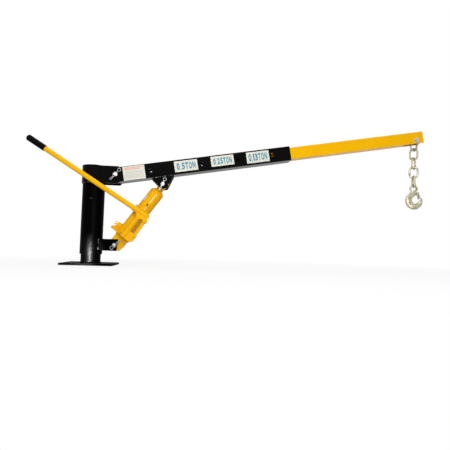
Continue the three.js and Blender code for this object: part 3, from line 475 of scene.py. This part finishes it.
def dress(node, finish, edge=0.0, long_edge=0.0):
    """Stands for a CAD node: its mesh merged, shaded smooth and its edges broken."""
    source = frame["nodes"][node]
    mesh = source.data.copy()
    work = bmesh.new()
    work.from_mesh(mesh)
    bmesh.ops.remove_doubles(work, verts=work.verts, dist=MERGED)
    bmesh.ops.dissolve_limit(work, angle_limit=FLAT, verts=work.verts, edges=work.edges)
    work.to_mesh(mesh)
    work.free()
    mesh.polygons.foreach_set("material_index", np.zeros(len(mesh.polygons), np.int32))
    mesh.polygons.foreach_set("use_smooth", np.ones(len(mesh.polygons), bool))
    if mesh.has_custom_normals:
        mesh.attributes.remove(mesh.attributes["custom_normal"])
    mesh.set_sharp_from_angle(angle=SMOOTHED)
    if node in ROUND_SKINS:
        turn_true(mesh, *ROUND_SKINS[node])
    width = break_edges(mesh, edge, long_edge) if edge or long_edge else 0.0
    piece = add(f"{node}_finished", mesh, finish, source["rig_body"])
    if width:
        bevel = piece.modifiers.new("broken edges", "BEVEL")
        bevel.width = width * MM
        bevel.segments = 3 if long_edge else 2
        bevel.limit_method = "WEIGHT"
        bevel.use_clamp_overlap = True
        bevel.harden_normals = True
    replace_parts(piece, node)
    return piece


def cast(piece, voxel, rounds):
    """Softens a piece's every edge, as sand casting and forging do, in so many rounds of smoothing."""
    fuse = piece.modifiers.new("one skin", "REMESH")
    fuse.mode = "VOXEL"
    fuse.voxel_size = voxel * MM
    fuse.use_smooth_shade = True
    relax = piece.modifiers.new("soft radii", "SMOOTH")
    relax.factor = 0.5
    relax.iterations = rounds


# The castings' voxels, and how far the other pieces' edges are broken or rolled, in millimetres
CASTINGS = {"jack_base": 1.0, "handle_socket": 0.8, "ram_head": 0.8}
CASTING_ROUNDS = 2
SHEET_PIECES = ("head_strap", "sleeve_lid", "hook_bolt", "hook_bolt_nut")
BRACKETS = ("jack_bracket_near", "jack_bracket_far", "ram_bracket_near", "ram_bracket_far")
EDGES = {
    **dict.fromkeys(("base_plate", "jack_top_nut"), 0.8),
    **dict.fromkeys((*SHEET_PIECES, *BRACKETS), 0.6),
    **dict.fromkeys(("outer_boom", "inner_boom"), 0.4),
    "hook_latch": 0.3,
    "pump_link": 1.0,
}
LONG_EDGES = {"outer_boom": 4.0, "inner_boom": 3.2}
OWN_FINISHES = {
    **dict.fromkeys(("mast_post", "mast_sleeve"), "mast_black"),
    **dict.fromkeys(("base_plate", "jack_bracket_near", "jack_bracket_far"), "plate_black"),
    **dict.fromkeys(("jack_top_nut", "filler_boss", "reservoir_tube"), "jack_yellow"),
    **dict.fromkeys(("pump_link", *CASTINGS), "cast_yellow"),
    **dict.fromkeys(("boom_pivot_clip", "jack_foot_clip", "ram_pin_clip"), "wire"),
    "grease_nipple": "dark_steel",
    "filler_plug": "plug",
    # The ram rod takes the steel whose darker, browner tone is a painted reflection.
    "ram_rod": "steel_with_painted_reflection",
    "hook_latch": "galvanised",
}
for node in sorted(frame["nodes"]):
    if node.startswith("chain_link") or node == "hook":
        continue
    finish = OWN_FINISHES.get(node, slots[node])
    piece = dress(node, finish, EDGES.get(node, 0.0), LONG_EDGES.get(node, 0.0))
    if node in CASTINGS:
        cast(piece, CASTINGS[node], CASTING_ROUNDS)

# Chain: each link a round wire bent into a long ring with a butt weld on one side. Wire is its radius,
# and the turns are the links' own about the chain's line, in degrees. The weld's swell is a share of
# the wire, and its width and the bend's softness are in radians and in sines of the ring's angle.
CHAIN = {"wire": 4.0, "inner_length": 41.1, "inner_width": 25.0, "turns": (14, -52, 38, -30, 76)}
BUTT_WELD = {"swell": 0.1, "width": 0.09}
BEND_SOFTNESS = 0.12
LINK_STEPS = 96
WIRE_SIDES = 20


def chain_link(name, turn):
    """A ring whose two halves are drawn apart: rise = bend * sin(angle) + straight * tanh(sin(angle) /
    softness). The wire swells where it was welded: 1 + swell * exp(-((angle - pi) / width) ** 2)."""
    low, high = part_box(name)
    centre = np.array((low + high) / 2) / MM
    bend = CHAIN["inner_width"] / 2 + CHAIN["wire"]
    straight = (CHAIN["inner_length"] - CHAIN["inner_width"]) / 2
    angle = around(LINK_STEPS)
    rise = np.sin(angle) * bend + straight * np.tanh(np.sin(angle) / BEND_SOFTNESS)
    place = np.stack([np.cos(angle) * bend, 0 * angle, rise], 1)
    c, d = math.cos(turn * DEGREE), math.sin(turn * DEGREE)
    spin = np.array([[c, -d, 0], [d, c, 0], [0, 0, 1]])
    wire = CHAIN["wire"] * (1 + BUTT_WELD["swell"] * np.exp(-(((angle - math.pi) / BUTT_WELD["width"]) ** 2)))
    points, faces = tube(place @ spin.T + centre, (-d, c, 0), wire, WIRE_SIDES, closed=True)
    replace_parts(make(f"{name}_finished", points, faces, "galvanised", name), name)


for index, turn in enumerate(CHAIN["turns"]):
    chain_link(f"chain_link_{index + 1}", turn)

# Hook, in millimetres from its eye's centre, x and z in its plane, and angles in degrees round the bowl
EYE = {"radius": 19.0, "hole": 10.0, "thick": 13.0}
BOWL = {"x": 7.0, "z": -51.0, "radius": 16.0, "start": 79.0}
BACK = {"x": 1.5, "z": -55.0, "radius": 39.0, "thick": 18.0}
THROAT = {"reach": 13.9, "facing": 133.5, "end": 163.7}
TIP = {"start": 335.0, "end": 379.5, "left": 1.2, "run_power": 1.3, "thin_power": 1.5, "thinned": 0.5}
WAIST = {"angle": 125.0, "over": 38.0, "thinned": 0.36}
NECK = {"x": (-1.5, -6.5), "z": (-12.5, -29.5), "half_width": (11.0, 17.0), "half_thick": (5.4, 7.8)}
TONGUE = {"start": (3.0, -15.0), "end": (17.5, -20.5), "radius": 4.3, "half_thick": 3.9}
PEBBLE_POWER = 0.35
HALVING = 20
OVAL_POWER = 0.85
HOOK_STEPS = {"bowl": 140, "neck": 12, "eye": 64, "tongue": 13}
OVAL_SIDES = 32
EYE_SIDES = 24
HOOK_VOXEL = 0.8
HOOK_ROUNDS = 5
hook_low, hook_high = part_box("hook")
hook_eye = np.zeros(3)
hook_eye[0] = hook_low[0] / MM - (BACK["x"] - BACK["radius"])
hook_eye[2] = hook_high[2] / MM - EYE["radius"]


def smooth_step(value):
    """Zero under zero, one over one, and value * value * (3 - 2 * value) between."""
    value = np.clip(value, 0, 1)
    return value * value * (3 - 2 * value)


def blend(ends, share):
    """The value at a share of the way between two ends."""
    return ends[0] + (ends[1] - ends[0]) * share


def hook_body():
    """A forged crescent: at each angle round the bowl a soft oval spans from the inner curve to the
    back's circle. The inner curve is the bowl's circle, a straight throat above it, whose radius is
    reach / cos(angle - facing), and a run out to the back at the tip, (outer - left - bowl) * share **
    run_power. It thins by thinned * share ** thin_power to the tip, and towards the waist."""
    angle = np.linspace(BOWL["start"] * DEGREE, TIP["end"] * DEGREE, HOOK_STEPS["bowl"])
    aside, below = BOWL["x"] - BACK["x"], BOWL["z"] - BACK["z"]
    offset = aside * np.cos(angle) + below * np.sin(angle)
    outer = -offset + np.sqrt(BACK["radius"] ** 2 - aside**2 - below**2 + offset**2)
    throat_end = THROAT["end"] * DEGREE
    throat = THROAT["reach"] / np.cos(np.minimum(angle, throat_end) - THROAT["facing"] * DEGREE)
    inner = np.where(angle < throat_end, throat, BOWL["radius"])
    tip = np.clip((angle - TIP["start"] * DEGREE) / ((TIP["end"] - TIP["start"]) * DEGREE), 0, 1)
    inner = inner + (outer - TIP["left"] - BOWL["radius"]) * tip ** TIP["run_power"]
    half_wide = (outer - inner) / 2
    waist = 1 - WAIST["thinned"] * smooth_step((WAIST["angle"] * DEGREE - angle) / (WAIST["over"] * DEGREE))
    half_thick = BACK["thick"] / 2 * (1 - TIP["thinned"] * tip ** TIP["thin_power"]) * waist
    way = np.stack([np.cos(angle), 0 * angle, np.sin(angle)], 1)
    centre = np.array([BOWL["x"], 0, BOWL["z"]]) + way * ((outer + inner) / 2)[:, None]
    turn = around(OVAL_SIDES)
    wide, thick = (np.sign(wave) * np.abs(wave) ** OVAL_POWER for wave in (np.cos(turn), np.sin(turn)))
    spread = half_wide[:, None, None] * wide[None, :, None] * way[:, None]
    lift = half_thick[:, None, None] * thick[None, :, None] * np.array([0, 1, 0])
    return capped(centre[:, None] + spread + lift)


def hook_neck():
    """The neck under the eye: ovals that widen and thicken downwards."""
    share = np.linspace(0, 1, HOOK_STEPS["neck"])[:, None]
    turn = around(OVAL_SIDES)[None, :]
    x = blend(NECK["x"], share) + blend(NECK["half_width"], share) * np.cos(turn)
    y = blend(NECK["half_thick"], share) * np.sin(turn)
    return capped(np.stack([x, y, blend(NECK["z"], share) + 0 * turn], -1))


def hook_ring():
    """The eye: an oval section, wider across than along, carried round the hole."""
    middle = (EYE["radius"] + EYE["hole"]) / 2
    half = (EYE["radius"] - EYE["hole"]) / 2
    angle = around(HOOK_STEPS["eye"])[:, None]
    turn = around(EYE_SIDES)[None, :]
    reach = middle + half * np.cos(turn)
    across = EYE["thick"] / 2 * np.sin(turn) + 0 * angle
    rings = np.stack([reach * np.cos(angle), across, reach * np.sin(angle)], -1)
    return rings.reshape(-1, 3), grid_faces(*rings.shape[:2], close_rows=True).tolist()


def hook_tongue():
    """The latch's lug: a flat stadium from the neck to the latch's pin, rounded like a pebble, as its
    size is radius * cos(polar) ** power. Each half of a ring is moved out by half the lug's length
    times halving * cos(turn), held between -1 and 1."""
    start, end = np.array(TONGUE["start"]), np.array(TONGUE["end"])
    way = (end - start) / np.linalg.norm(end - start)
    across = np.array([-way[1], way[0]])
    polar = np.linspace(-math.pi / 2, math.pi / 2, HOOK_STEPS["tongue"])[:, None]
    turn = around(OVAL_SIDES)[None, :]
    size = TONGUE["radius"] * np.cos(polar) ** PEBBLE_POWER
    stretch = np.clip(np.cos(turn) * HALVING, -1, 1) * np.linalg.norm(end - start) / 2
    along = size * np.cos(turn) + stretch
    side = size * np.sin(turn)
    middle = (start + end) / 2
    x, z = (middle[k] + along * way[k] + side * across[k] for k in (0, 1))
    return capped(np.stack([x, TONGUE["half_thick"] * np.sin(polar) + 0 * turn, z], -1))


hook_points, hook_faces = joined(hook_body(), hook_neck(), hook_ring(), hook_tongue())
hook = make("hook_finished", hook_points + hook_eye, hook_faces, "galvanised", "hook")
cast(hook, HOOK_VOXEL, HOOK_ROUNDS)
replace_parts(hook, "hook")

# Labels on the boom's near face, in millimetres along the boom and square to it. A print stands proud
# of its label, a worn patch of the boom. The rows of a print lie under each other by their pitch.
LABEL_THICK = 0.25
PRINT_PROUD = 0.06
PATCH_PROUD = 0.11
NOTICE = {"low": (29.0, -29.0), "high": (117.0, 28.0)}
BANDS = {"start": 36, "ends": (112, 98), "top": 21.5, "pitch": 6.0, "half_high": 1.6}
RULES = {"start": 35, "ends": (110,) * 6, "top": 6.5, "pitch": 5.0, "half_high": 0.6}
LOADS = {
    "heavy": {"text": "0.5TON", "low": (238.0, -20.5), "high": (333.5, 24.0)},
    "middle": {"text": "0.25TON", "low": (390.0, -17.0), "high": (486.0, 25.0)},
    "light": {"text": "0.13TON", "low": (540.0, -22.0), "high": (637.0, 24.5)},
}
LOAD_MARGIN = np.array([9, 8])

# Printed figures, as shares of a wide figure's width and height: the narrow ones' widths, the gap and
# the point's height; then how much bolder their outline is drawn, and the ink in millimetres
NARROW = {".": 0.32, "1": 0.5}
GAP = 0.2
POINT_HEIGHT = 0.18
BOLDER = 0.04
INK_THICK = 0.05
PATCH_CORNERS = 24
STICKER_STEPS = 24


def label(name, corners, finish="label", lift=0.0):
    """A thin plate on the boom's near face, from its lower left corner round to its upper left."""
    s, n = np.array(corners, float).T
    sheet = [along_boom(s, n, -BOOM_HALF - level) for level in (lift, lift + LABEL_THICK)]
    count = len(s)
    sides = [[k, (k + 1) % count, count + (k + 1) % count, count + k] for k in range(count)]
    faces = [list(range(count)), list(range(count, 2 * count))] + sides
    make(name, np.vstack(sheet), faces, finish, "boom", smooth=False)


def oblong(low, high):
    """The corners of a rectangle between two opposite corners."""
    return [(low[0], low[1]), (high[0], low[1]), (high[0], high[1]), (low[0], high[1])]


def stripes(name, rows, finish):
    """Printed bars on the notice, one under the other."""
    for row, end in enumerate(rows["ends"]):
        n = rows["top"] - rows["pitch"] * row
        corners = oblong((rows["start"], n - rows["half_high"]), (end, n + rows["half_high"]))
        label(f"{name}_{row + 1}", corners, finish, PRINT_PROUD)


def glyph(sign):
    """One heavy figure's outline as flat points from zero to one, and its faces."""
    curve = bpy.data.curves.new(sign, "FONT")
    curve.body = sign
    curve.offset = BOLDER
    writer = bpy.data.objects.new(sign, curve)
    bpy.context.scene.collection.objects.link(writer)
    bpy.context.view_layer.update()
    mesh = bpy.data.meshes.new_from_object(writer.evaluated_get(bpy.context.evaluated_depsgraph_get()))
    bpy.data.objects.remove(writer)
    flat = np.zeros(len(mesh.vertices) * 3)
    mesh.vertices.foreach_get("co", flat)
    flat = flat.reshape(-1, 3)[:, :2]
    faces = [list(face.vertices) for face in mesh.polygons]
    return (flat - flat.min(0)) / (flat.max(0) - flat.min(0)), faces


def printed_number(name, text, low, high):
    """Condensed figures laid flat on a label: each one's outline fills its cell between low and high."""
    cells = np.array([NARROW.get(sign, 1.0) for sign in text])
    scale = (high[0] - low[0]) / (cells.sum() + GAP * (len(text) - 1))
    starts = low[0] + scale * (np.r_[0, np.cumsum(cells)[:-1]] + GAP * np.arange(len(text)))
    shapes = []
    for sign, start, cell in zip(text, starts, cells):
        flat, faces = glyph(sign)
        tall = (high[1] - low[1]) * (POINT_HEIGHT if sign == "." else 1.0)
        shapes.append((flat * (scale * cell, tall) + (start, low[1]), faces))
    points, faces = joined(*shapes)
    mesh = bpy.data.meshes.new(name)
    place = along_boom(points[:, 0], points[:, 1], -BOOM_HALF - LABEL_THICK - PRINT_PROUD) * MM
    mesh.from_pydata(place.tolist(), [], faces)
    piece = add(name, mesh, "teal_print", "boom")
    thick = piece.modifiers.new("ink", "SOLIDIFY")
    thick.thickness = INK_THICK * MM


def blot(name, centre, size, waves):
    """A worn patch of paint: its outline is size * (1 + 0.3 sin(3 t + a) + 0.2 sin(5 t + b))."""
    t = around(PATCH_CORNERS)
    reach = 1 + 0.3 * np.sin(3 * t + waves[0]) + 0.2 * np.sin(5 * t + waves[1])
    s = centre[0] + size[0] * reach * np.cos(t)
    n = centre[1] + size[1] * reach * np.sin(t)
    label(name, np.stack([s, n], 1), "orange_mark", PATCH_PROUD - LABEL_THICK)


def sticker(name, low, high, first, last, levels=(0.1, 0.3)):
    """A blank label wrapped round the reservoir, between two levels off its skin: radius, angle and
    height make each point, the angle counted from the near side towards the mast."""
    angle = np.linspace(first, last, STICKER_STEPS) * DEGREE
    inner, outer = (RESERVOIR_RADIUS + level for level in levels)
    rings = []
    for radius, z in ((inner, low), (outer, low), (outer, high), (inner, high)):
        rings.append(along_jack(-radius * np.sin(angle), z, -radius * np.cos(angle)))
    points, faces = capped(np.stack(rings, 1))
    make(name, points, faces, "label", "jack", smooth=False)


label("label_notice", oblong(NOTICE["low"], NOTICE["high"]))
stripes("label_notice_band", BANDS, "salmon_print")
stripes("label_notice_rule", RULES, "grey_print")
for name, load in LOADS.items():
    low, high = np.array(load["low"]), np.array(load["high"])
    label(f"label_{name}", oblong(low, high))
    printed_number(f"label_{name}_figures", load["text"], low + LOAD_MARGIN, high - LOAD_MARGIN)
blot("scratch_by_lock_hole", centre=(650.0, 8.5), size=(4.0, 1.3), waves=(0.4, 1.7))
blot("scratch_on_ram_bracket", centre=(204.0, -66.0), size=(1.3, 3.6), waves=(1.9, 0.3))
sticker("label_reservoir", low=216.0, high=237.5, first=42, last=100)

# Weld beads: ripples of metal laid along the seams, in millimetres. A ripple swells by a share of the
# radius. An arc has its radius and height about the mast's axis, and its first and last angles.
BEAD = {"ripple": 2.6, "swell": 0.14, "least": 0.02, "sides": 12}
RAM_SEAM = {"s": (143.0, 226.0), "n": -30.6, "y": BOOM_HALF + 0.2, "radius": 1.9}
FOOT_SEAM = {"x": 32.8, "y": 30.6, "heights": ((59.0, 73.0), (87.0, 104.0)), "radius": 2.4}
POST_SEAM = {"arc": (40.0, 9.0, 0, 359.5), "radius": 2.6}
STRAP_SEAM = {"arc": (45.2, 329.2, 52, 308), "radius": 2.0}
LINE_STEP = 0.5
ARC_STEP = 0.8


def bead(name, path, across, radius, body, finish="weld"):
    """A bead that swells once in each ripple, size = radius * (1 + swell * sin(2 pi length / ripple)),
    and has round ends, size * sqrt(e * (2 - e)) with e the way to the nearer end over the size."""
    length = np.r_[0, np.cumsum(np.linalg.norm(np.diff(path, axis=0), axis=1))]
    size = radius * (1 + BEAD["swell"] * np.sin(2 * math.pi * length / BEAD["ripple"]))
    ends = np.minimum(length, length[-1] - length) / size
    size *= np.sqrt(np.clip(ends * (2 - np.clip(ends, 0, 1)), BEAD["least"], 1))
    points, faces = tube(path, across, size, BEAD["sides"])
    make(name, points, faces, finish, body)


def line(start, end):
    """Evenly spaced points from one place to another."""
    start, end = np.array(start, float), np.array(end, float)
    count = max(int(np.linalg.norm(end - start) / LINE_STEP), 2)
    return start + np.linspace(0, 1, count)[:, None] * (end - start)


def arc(radius, z, first, last):
    """Points on a level circle about the mast's axis, from one angle to another."""
    count = max(int(abs(last - first) * DEGREE * radius / ARC_STEP), 8)
    angle = np.linspace(first, last, count) * DEGREE
    return np.stack([radius * np.cos(angle), radius * np.sin(angle), np.full(count, z)], 1)


for side, name in ((-1, "near"), (1, "far")):
    ends = (along_boom(s, RAM_SEAM["n"], side * RAM_SEAM["y"]) for s in RAM_SEAM["s"])
    bead(f"weld_ram_bracket_{name}", line(*ends), (0, 1, 0), RAM_SEAM["radius"], "boom")
    for part, heights in enumerate(FOOT_SEAM["heights"]):
        ends = ((FOOT_SEAM["x"], side * FOOT_SEAM["y"], z) for z in heights)
        bead(f"weld_foot_bracket_{name}_{part + 1}", line(*ends), (0, 1, 0), FOOT_SEAM["radius"], "mast")
bead("weld_post_foot", arc(*POST_SEAM["arc"]), (0, 0, 1), POST_SEAM["radius"], "base", "mast_black")
bead("weld_head_strap", arc(*STRAP_SEAM["arc"]), (0, 0, 1), STRAP_SEAM["radius"], "mast")

# Studio, in metres and watts


def lamp(name, place, target, size, energy, grid=None, glossy=True):
    """A soft box that faces its target. One with a grid, whose beam is that many degrees wide, only
    adds a glint to glossy surfaces; one that isn't glossy adds none."""
    light = bpy.data.lights.new(name, "AREA")
    light.shape, light.size, light.size_y = "RECTANGLE", size[0], size[1]
    light.energy = energy
    holder = bpy.data.objects.new(name, light)
    holder.visible_camera = False
    holder.visible_glossy = glossy
    if grid:
        light.spread = grid * DEGREE
        holder.visible_diffuse = False
    holder.location = place
    holder.rotation_euler = (Vector(target) - Vector(place)).to_track_quat("-Z", "Y").to_euler()
    bpy.context.scene.collection.objects.link(holder)


lamp("key", (0.1, -2.7, 1.6), (0.7, 0, 0.3), size=(1.2, 0.7), energy=36)
lamp("overhead", (0.6, 0.3, 3.0), (0.6, 0, 0), size=(2.4, 1.6), energy=25)
lamp("back", (0.9, 2.4, 1.6), (0.5, 0, 0.3), size=(2.0, 0.8), energy=12)
lamp("fill", (0.5, -2.4, 0.2), (0.5, 0, 0.3), size=(1.6, 0.5), energy=19, glossy=False)
lamp("mast glint", (0.0, -0.29, 0.03), (-0.04, -0.04, 0.04), size=(0.06, 0.02), energy=3.2, grid=40)
lamp("jack glint", (0.51, -1.2, 0.1), (0.2, 0, 0.26), size=(0.12, 0.28), energy=0.75, grid=30)
lamp("hook glint", (1.2, -0.95, 0.1), (1.36, 0, 0.3), size=(0.55, 0.55), energy=0.6, grid=30)

# Floor: paper that is mostly plain backdrop near the crane, where it keeps a shadow, and all of it past
# the fade's end. It counts as pale paper for rays that show a background and as a darker one for light.
FLOOR = {"half": 40.0, "middle": (0.6, 0, -0.5 * MM), "stretch": (0.7, 1, 1), "fade": (0.5, 1.5)}
BACKDROP = {"near": 0.8, "rise": 0.2}
PAPER = {"seen": (0.96, 0.96, 0.96, 1), "unseen": (0.5, 0.5, 0.5, 1)}
SKY = {"unseen": 0.35, "seen": 1.0}
WHITE = (1, 1, 1, 1)

paper = Finish("pale floor")
distance = paper.node(
    "ShaderNodeVectorMath", {"operation": "LENGTH"}, {0: paper.place(FLOOR["stretch"])}, output="Value"
)
seen = paper.seen()
tone = paper.mix(seen, PAPER["unseen"], PAPER["seen"])
lit = paper.node("ShaderNodeBsdfDiffuse", {}, {"Color": tone}, output="BSDF")
backdrop = paper.node("ShaderNodeEmission", {}, {"Strength": 1.0}, output="Emission")
share = (distance.above(*FLOOR["fade"]) * BACKDROP["rise"] + BACKDROP["near"]) * seen
paper.end(paper.node("ShaderNodeMixShader", {}, {0: share, 1: lit, 2: backdrop}, output="Shader"))
half = FLOOR["half"]
floor_mesh = bpy.data.meshes.new("floor")
floor_mesh.from_pydata([(*corner, 0) for corner in oblong((-half, -half), (half, half))], [], [(0, 1, 2, 3)])
floor_mesh.materials.append(paper.owner)
floor = bpy.data.objects.new("floor", floor_mesh)
floor.location = FLOOR["middle"]
bpy.context.scene.collection.objects.link(floor)

bpy.context.scene.world = bpy.data.worlds.new("studio")
sky = Finish("studio", bpy.context.scene.world)
soft, plain = (
    sky.node("ShaderNodeBackground", {}, {"Color": WHITE, "Strength": SKY[use]}, output="Background")
    for use in ("unseen", "seen")
)
both = sky.node("ShaderNodeMixShader", {}, {0: sky.seen(), 1: soft, 2: plain}, output="Shader")
sky.end(both, "ShaderNodeOutputWorld")


def look(yaw, pitch, roll):
    """The camera's turn: forward from yaw and pitch, then its right and up rolled about forward."""
    yaw, pitch, roll = yaw * DEGREE, pitch * DEGREE, roll * DEGREE
    forward = Vector((-math.sin(yaw) * math.cos(pitch), math.cos(yaw) * math.cos(pitch), math.sin(pitch)))
    right = forward.cross(Vector((0, 0, 1))).normalized()
    up = right.cross(forward)
    turned_right = math.cos(roll) * right + math.sin(roll) * up
    turned_up = -math.sin(roll) * right + math.cos(roll) * up
    return Matrix((turned_right, turned_up, -forward)).transposed().to_4x4()


camera_data = bpy.data.cameras.new("camera")
camera_data.lens = CAMERA["lens"]
camera_data.sensor_width = CAMERA["film"]
camera_data.clip_start, camera_data.clip_end = CAMERA["sees"]
camera = bpy.data.objects.new("camera", camera_data)
camera.matrix_world = Matrix.Translation(CAMERA["place"]) @ look(**CAMERA["turn"])
bpy.context.scene.collection.objects.link(camera)
bpy.context.scene.camera = camera
bpy.context.scene.view_settings.view_transform = "Standard"
